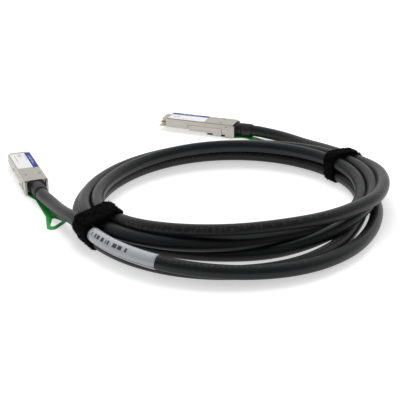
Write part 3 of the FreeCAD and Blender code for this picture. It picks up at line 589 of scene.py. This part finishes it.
# printed vinyl under a clear tail: a cool pale grey with a smooth film's clear shine
vinyl, tree, output = new_material("printed_pale_vinyl")
uv = add(tree, "ShaderNodeUVMap", uv_map="along_and_round")
split = add(tree, "ShaderNodeSeparateXYZ", {0: uv.outputs[0]})
bars = add(tree, "ShaderNodeMath", {0: split.outputs["X"], 1: 1 / BAR_WIDTH},
           operation="MULTIPLY")
bar_cell = add(tree, "ShaderNodeMath", {0: bars.outputs[0]}, operation="FLOOR")
dice = add(tree, "ShaderNodeTexWhiteNoise", {"W": bar_cell.outputs[0]}, noise_dimensions="1D")
dark = add(tree, "ShaderNodeMath", {0: dice.outputs["Value"], 1: BAR_BLANK},
           operation="GREATER_THAN")
code_row = add(tree, "ShaderNodeMath", {0: split.outputs["Y"], 1: CODE_ROUND[0],
                                        2: CODE_ROUND[1]}, operation="COMPARE")
code_run = add(tree, "ShaderNodeMath", {0: split.outputs["X"], 1: CODE_ALONG[0],
                                        2: CODE_ALONG[1]}, operation="COMPARE")
rule = add(tree, "ShaderNodeMath", {0: split.outputs["Y"], 1: RULE_ROUND[0],
                                    2: RULE_ROUND[1]}, operation="COMPARE")
code = add(tree, "ShaderNodeMath", {0: code_row.outputs[0], 1: code_run.outputs[0]},
           operation="MULTIPLY")
code_ink = add(tree, "ShaderNodeMath", {0: code.outputs[0], 1: dark.outputs[0]},
               operation="MULTIPLY")
ink = add(tree, "ShaderNodeMath", {0: code_ink.outputs[0], 1: rule.outputs[0]},
          operation="MAXIMUM")
colour = add(tree, "ShaderNodeMix", {0: ink.outputs[0], 6: linear("BCC1C6"),
                                     7: linear("2E3340")}, data_type="RGBA")
film = add(tree, "ShaderNodeBsdfPrincipled", {"Base Color": colour.outputs[2], "Roughness": 0.28,
                                              "Coat Weight": 0.6, "Coat Roughness": 0.12})
tree.links.new(film.outputs[0], output.inputs["Surface"])
label_radius = CABLE_DIAMETER / 2 * MM + LABEL_PROUD
cable_label = tube("cable_label_wrap", under_label, [label_radius] * len(under_label),
                   LABEL_SIDES, vinyl)
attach(cable_label, ROOT)
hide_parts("cable_label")


# ---- the plugs' metal ------------------------------------------------------------------------
# Each shell is a zinc die casting with a satin nickel plate: a tray and a lid, screwed together.
# The plate is pale and slightly warm, with the fine dull grain of the cast skin under it.
CAST_GRAIN = 0.25           # millimetres between grains of the cast skin, drawn coarse
CAST_CLOUD = 11.1           # millimetres across the plate's duller and brighter places
nickel, tree, output = new_material("nickel_plated_zinc_casting")
coords = add(tree, "ShaderNodeTexCoord")
clouds = add(tree, "ShaderNodeTexNoise", {"Vector": coords.outputs["Object"],
                                          "Scale": 1000 / CAST_CLOUD, "Detail": 4.0})
skin = add(tree, "ShaderNodeTexNoise", {"Vector": coords.outputs["Object"],
                                        "Scale": 1000 / CAST_GRAIN, "Detail": 2.0})
tint = add(tree, "ShaderNodeMix", {0: clouds.outputs["Fac"], 6: linear("B0ACA3"),
                                   7: linear("C8C4BB")}, data_type="RGBA")
dull = add(tree, "ShaderNodeMapRange", {"Value": clouds.outputs["Fac"], "To Min": 0.34,
                                        "To Max": 0.50})
dent = add(tree, "ShaderNodeBump", {"Height": skin.outputs["Fac"], "Strength": 0.25,
                                    "Distance": 0.06 * MM})
plate = add(tree, "ShaderNodeBsdfPrincipled", {"Base Color": tint.outputs[2], "Metallic": 1.0,
                                               "Roughness": dull.outputs[0],
                                               "Normal": dent.outputs[0]})
tree.links.new(plate.outputs[0], output.inputs["Surface"])


def dress(names, material):
    """Give CAD pieces of both plugs their finish."""
    for name in names:
        for suffix in PLUGS:
            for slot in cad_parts[name + "_" + suffix].material_slots:
                slot.material = material


def plain(name, code, metallic, roughness, grain_size):
    """A finish of one colour for small parts, its grain's millimetres coarse enough to show."""
    spread = 0.06           # how far the grain takes the roughness up and down
    material, tree, output = new_material(name)
    coords = add(tree, "ShaderNodeTexCoord")
    grain = add(tree, "ShaderNodeTexNoise", {"Vector": coords.outputs["Object"],
                                             "Scale": 1000 / grain_size, "Detail": 3.0})
    bump = add(tree, "ShaderNodeBump", {"Height": grain.outputs["Fac"], "Strength": 0.2,
                                        "Distance": 0.05 * MM})
    rough = add(tree, "ShaderNodeMapRange", {"Value": grain.outputs["Fac"],
                                             "To Min": roughness - spread,
                                             "To Max": roughness + spread})
    shader = add(tree, "ShaderNodeBsdfPrincipled", {"Base Color": linear(code),
                                                    "Metallic": metallic,
                                                    "Roughness": rough.outputs[0],
                                                    "Normal": bump.outputs[0]})
    tree.links.new(shader.outputs[0], output.inputs["Surface"])
    return material


dress(["base_shell", "top_cover"], nickel)
# zinc-plated steel: about as pale as the nickel round it, and a little smoother
dress(["cover_screws"], plain("zinc_plated_steel", "B9B6B0", 1.0, 0.35, 1.11))
# stamped stainless sheet: rolled smooth, with a soft satin shine
dress(["latch_slider"], plain("stamped_stainless_sheet", "BDBAB2", 1.0, 0.40, 0.667))
# drawn steel wire: darker than the sheet, with the sharper shine that the die leaves
dress(["return_springs"], plain("drawn_spring_wire", "A9A9AA", 1.0, 0.3, 0.667))
# crimped brass: a dull yellow, hidden inside the shell
dress(["crimp_ring"], plain("crimped_brass", "B99A5B", 1.0, 0.35, 1.11))
# solder mask over glass laminate: a deep green lacquer with a soft shine
dress(["paddle_card"], plain("green_solder_mask_on_glass_laminate", "1F6B3C", 0.0, 0.35, 0.833))
# hard gold plate: a rich yellow, the smoothest metal of the plug
dress(["contact_fingers"], plain("hard_gold_plate", "E2B655", 1.0, 0.22, 0.833))
# foamed insulation: a matt pale blue, hidden inside the shell
dress(["wire_pairs"], plain("foamed_pair_insulation", "8FA3C9", 0.0, 0.5, 1.11))


# ---- the boots -------------------------------------------------------------------------------
# A black elastomer boot is moulded over the cable behind each shell: a ribbed collar, then a soft
# sleeve that bends with the cable.  It is a softer black than the jacket, with no clear shine.
boot_rubber = plain("moulded_black_elastomer", "1C1D20", 0.0, 0.55, 0.769)
dress(["cable_boot"], boot_rubber)
SLEEVE_REACH = 10.5 * MM
SLEEVE_TAPER = 1.6 * MM     # the length at its far end where it thins to the jacket
SLEEVE_RADIUS = 5.75 * MM
SLEEVE_SIDES = 40
along_cable = lengths_along(centres)
for suffix, from_start in (("a", True), ("b", False)):
    picked = []
    thickness = []
    for centre, s in zip(centres, along_cable):
        reach = s if from_start else along_cable[-1] - s
        if reach <= SLEEVE_REACH:
            picked.append(centre)
            slim = max(0.0, reach - SLEEVE_REACH + SLEEVE_TAPER) / SLEEVE_TAPER
            thickness.append(SLEEVE_RADIUS - (SLEEVE_RADIUS - CABLE_DIAMETER / 2 * MM) * slim)
    sleeve = tube("boot_sleeve_" + suffix, picked, thickness, SLEEVE_SIDES, boot_rubber)
    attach(sleeve, ROOT)


# ---- the pull tabs ---------------------------------------------------------------------------
# A flat strap of soft green PVC with a finger loop, moulded over the latch slider's bridge.  Its
# edges are rounded by the mould, and light shows a little through it.
TAB_MOTTLE = 6.25           # millimetres across the pigment's faint mottle
pvc_green, tree, output = new_material("soft_green_pvc")
coords = add(tree, "ShaderNodeTexCoord")
mottle = add(tree, "ShaderNodeTexNoise", {"Vector": coords.outputs["Object"],
                                          "Scale": 1000 / TAB_MOTTLE, "Detail": 2.0})
tint = add(tree, "ShaderNodeMix", {0: mottle.outputs["Fac"], 6: linear("14983A"),
                                   7: linear("2CBE50")}, data_type="RGBA")
soft = add(tree, "ShaderNodeBsdfPrincipled", {"Base Color": tint.outputs[2], "Roughness": 0.42,
                                              "Subsurface Weight": 0.15,
                                              "Subsurface Scale": 0.4 * MM})
tree.links.new(soft.outputs[0], output.inputs["Surface"])
TAB_ROUNDING = 0.25 * MM
ROUNDING_STEPS = 3
SAME_PLACE = 0.002 * MM     # vertices closer than this are one
FLAT_ANGLE = math.radians(1)
RIM_ANGLE = math.radians(50)
for suffix in PLUGS:
    shape = bmesh.new()
    shape.from_mesh(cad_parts["pull_tab_" + suffix].data)
    bmesh.ops.remove_doubles(shape, verts=shape.verts, dist=SAME_PLACE)
    bmesh.ops.dissolve_limit(shape, angle_limit=FLAT_ANGLE, verts=shape.verts, edges=shape.edges)
    rims = [e for e in shape.edges if e.is_manifold and e.calc_face_angle(0) > RIM_ANGLE]
    bmesh.ops.bevel(shape, geom=rims, offset=TAB_ROUNDING, segments=ROUNDING_STEPS, profile=0.5,
                    affect="EDGES")
    bmesh.ops.triangulate(shape, faces=[f for f in shape.faces if len(f.verts) > 4])
    # the bevel leaves everything in an order of its own, so each run puts it into the same one
    for index, vertex in enumerate(sorted(shape.verts, key=lambda v: tuple(v.co))):
        vertex.index = index
    shape.verts.sort()
    for parts in (shape.edges, shape.faces):
        ordered = sorted(parts, key=lambda part: sorted(v.index for v in part.verts))
        for index, part in enumerate(ordered):
            part.index = index
        parts.sort()
    mesh = bpy.data.meshes.new("green_tab_" + suffix)
    shape.to_mesh(mesh)
    shape.free()
    mesh.materials.append(pvc_green)
    mesh.shade_smooth()
    tab = bpy.data.objects.new("green_tab_" + suffix, mesh)
    bpy.context.collection.objects.link(tab)
    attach(tab, "latch_" + suffix)
    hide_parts("pull_tab_" + suffix)


# ---- the plugs' labels -----------------------------------------------------------------------
# A white polyester label sits on each lid, printed with a blue band along one edge and a few rows
# of small plain marks.  It is matt paper-white to the eye, with only a weak shine.
LABEL_REAR = 26.0           # millimetres from the plug's place; the lengths below are too
LABEL_LENGTH = 35.0
LABEL_HALF = 8.375
LABEL_CORNER = 0.8
CORNER_STEPS = 6
COVER_TOP = 12.5
FILM = 0.1
BAND_EDGE = -3.9            # the blue band lies on the far side of this line
CELL_LENGTH = 0.7
CELL_HEIGHT = 0.55
CELL_BLANK = 0.55           # the share of the marks' cells that are left blank
# each patch of marks as its middle along, half length, middle across and half width; the first
# is printed in pale blue on the band, the others in grey on the white
PATCHES = [(44.0, 10.0, -6.15, 0.75), (49.5, 8.5, -2.9, 0.4),
           (48.25, 10.25, 5.05, 0.45), (55.5, 3.5, 0.9, 1.7)]
polyester, tree, output = new_material("printed_white_polyester")
uv = add(tree, "ShaderNodeUVMap", uv_map="plug_millimetres")
split = add(tree, "ShaderNodeSeparateXYZ", {0: uv.outputs[0]})
along, across = split.outputs["X"], split.outputs["Y"]
cells = add(tree, "ShaderNodeMath", {0: along, 1: 1 / CELL_LENGTH}, operation="MULTIPLY")
cell = add(tree, "ShaderNodeMath", {0: cells.outputs[0]}, operation="FLOOR")
lines = add(tree, "ShaderNodeMath", {0: across, 1: 1 / CELL_HEIGHT}, operation="MULTIPLY")
line_cell = add(tree, "ShaderNodeMath", {0: lines.outputs[0]}, operation="FLOOR")
key = add(tree, "ShaderNodeCombineXYZ", {0: cell.outputs[0], 1: line_cell.outputs[0]})
dice = add(tree, "ShaderNodeTexWhiteNoise", {"Vector": key.outputs[0]}, noise_dimensions="2D")
speckle = add(tree, "ShaderNodeMath", {0: dice.outputs["Value"], 1: CELL_BLANK},
              operation="GREATER_THAN")
blue = add(tree, "ShaderNodeMath", {0: across, 1: BAND_EDGE}, operation="LESS_THAN")
printed = []
for middle, reach, row, tall in PATCHES:
    run = add(tree, "ShaderNodeMath", {0: along, 1: middle, 2: reach}, operation="COMPARE")
    in_row = add(tree, "ShaderNodeMath", {0: across, 1: row, 2: tall}, operation="COMPARE")
    patch = add(tree, "ShaderNodeMath", {0: run.outputs[0], 1: in_row.outputs[0]},
                operation="MULTIPLY")
    printed.append(add(tree, "ShaderNodeMath", {0: patch.outputs[0], 1: speckle.outputs[0]},
                       operation="MULTIPLY"))
pale, grey = printed[:2]
for patch in printed[2:]:
    grey = add(tree, "ShaderNodeMath", {0: grey.outputs[0], 1: patch.outputs[0]},
               operation="MAXIMUM")
with_blue = add(tree, "ShaderNodeMix", {0: blue.outputs[0], 6: linear("F4F4F3"),
                                        7: linear("0B318C")}, data_type="RGBA")
with_pale = add(tree, "ShaderNodeMix", {0: pale.outputs[0], 6: with_blue.outputs[2],
                                        7: linear("9FB6E0")}, data_type="RGBA")
with_grey = add(tree, "ShaderNodeMix", {0: grey.outputs[0], 6: with_pale.outputs[2],
                                        7: linear("9A9598")}, data_type="RGBA")
sheet = add(tree, "ShaderNodeBsdfPrincipled", {"Base Color": with_grey.outputs[2],
                                               "Roughness": 0.42, "Specular IOR Level": 0.2})
tree.links.new(sheet.outputs[0], output.inputs["Surface"])

for suffix, (x0, y0, heading) in PLUGS.items():
    turn = math.radians(heading)
    corners = []
    for cx, cy, start in ((1, 1, 0), (-1, 1, 90), (-1, -1, 180), (1, -1, 270)):
        middle_x = LABEL_REAR + LABEL_LENGTH / 2 + cx * (LABEL_LENGTH / 2 - LABEL_CORNER)
        middle_y = cy * (LABEL_HALF - LABEL_CORNER)
        for step in range(CORNER_STEPS + 1):
            angle = math.radians(start + 90 * step / CORNER_STEPS)
            corners.append((middle_x + LABEL_CORNER * math.cos(angle),
                            middle_y + LABEL_CORNER * math.sin(angle)))
    count = len(corners)
    vertices = []
    for z in (COVER_TOP, COVER_TOP + FILM):
        for x, y in corners:
            vertices.append(((x0 + x * math.cos(turn) - y * math.sin(turn)) * MM,
                             (y0 + x * math.sin(turn) + y * math.cos(turn)) * MM, z * MM))
    faces = [tuple(range(count - 1, -1, -1)), tuple(range(count, 2 * count))]
    faces += [(k, (k + 1) % count, count + (k + 1) % count, count + k) for k in range(count)]
    label = new_object("white_label_" + suffix, vertices, faces, polyester)
    label.data.shade_flat()
    layer = label.data.uv_layers.new(name="plug_millimetres")
    for loop in label.data.loops:
        layer.data[loop.index].uv = corners[loop.vertex_index % count]
    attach(label, ROOT)
    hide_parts("plug_label_" + suffix)
